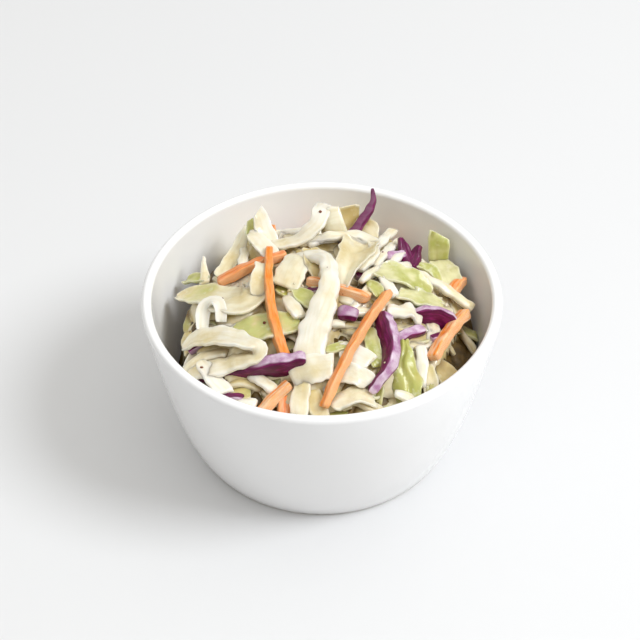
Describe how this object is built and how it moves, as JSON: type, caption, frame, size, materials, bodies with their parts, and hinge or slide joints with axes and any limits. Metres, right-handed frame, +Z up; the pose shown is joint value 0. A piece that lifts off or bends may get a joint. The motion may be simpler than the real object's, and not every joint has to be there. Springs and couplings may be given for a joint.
{
  "type": "bowl of coleslaw",
  "caption": "Coleslaw of shredded white, green and red cabbage with carrot in a creamy dressing, heaped in a small round white glazed bowl.",
  "frame": {"origin": "centre of the bowl's foot, on the surface that it stands on", "axes": "+Z up along the bowl's axis, -Y towards the front of the heap, +X to its right"},
  "size_m": [0.1, 0.1, 0.0583],
  "materials": {
    "bowl_glaze": "smooth glossy white glaze, undecorated",
    "slaw_mix": "moist shreds in a thin creamy dressing",
    "white_cabbage": "wet, smooth, slightly see-through",
    "green_cabbage": "wet leaf with pale veins",
    "red_cabbage": "wet dark purple skin, pale lilac cut edges",
    "carrot": "wet cut carrot with pale edges",
    "dressing": "glossy thin cream",
    "seasoning": "small reddish brown specks of dried spice"
  },
  "bodies": {
    "root": {"bowl": "bowl_glaze", "slaw": "slaw_mix"}
  },
  "joints": []
}
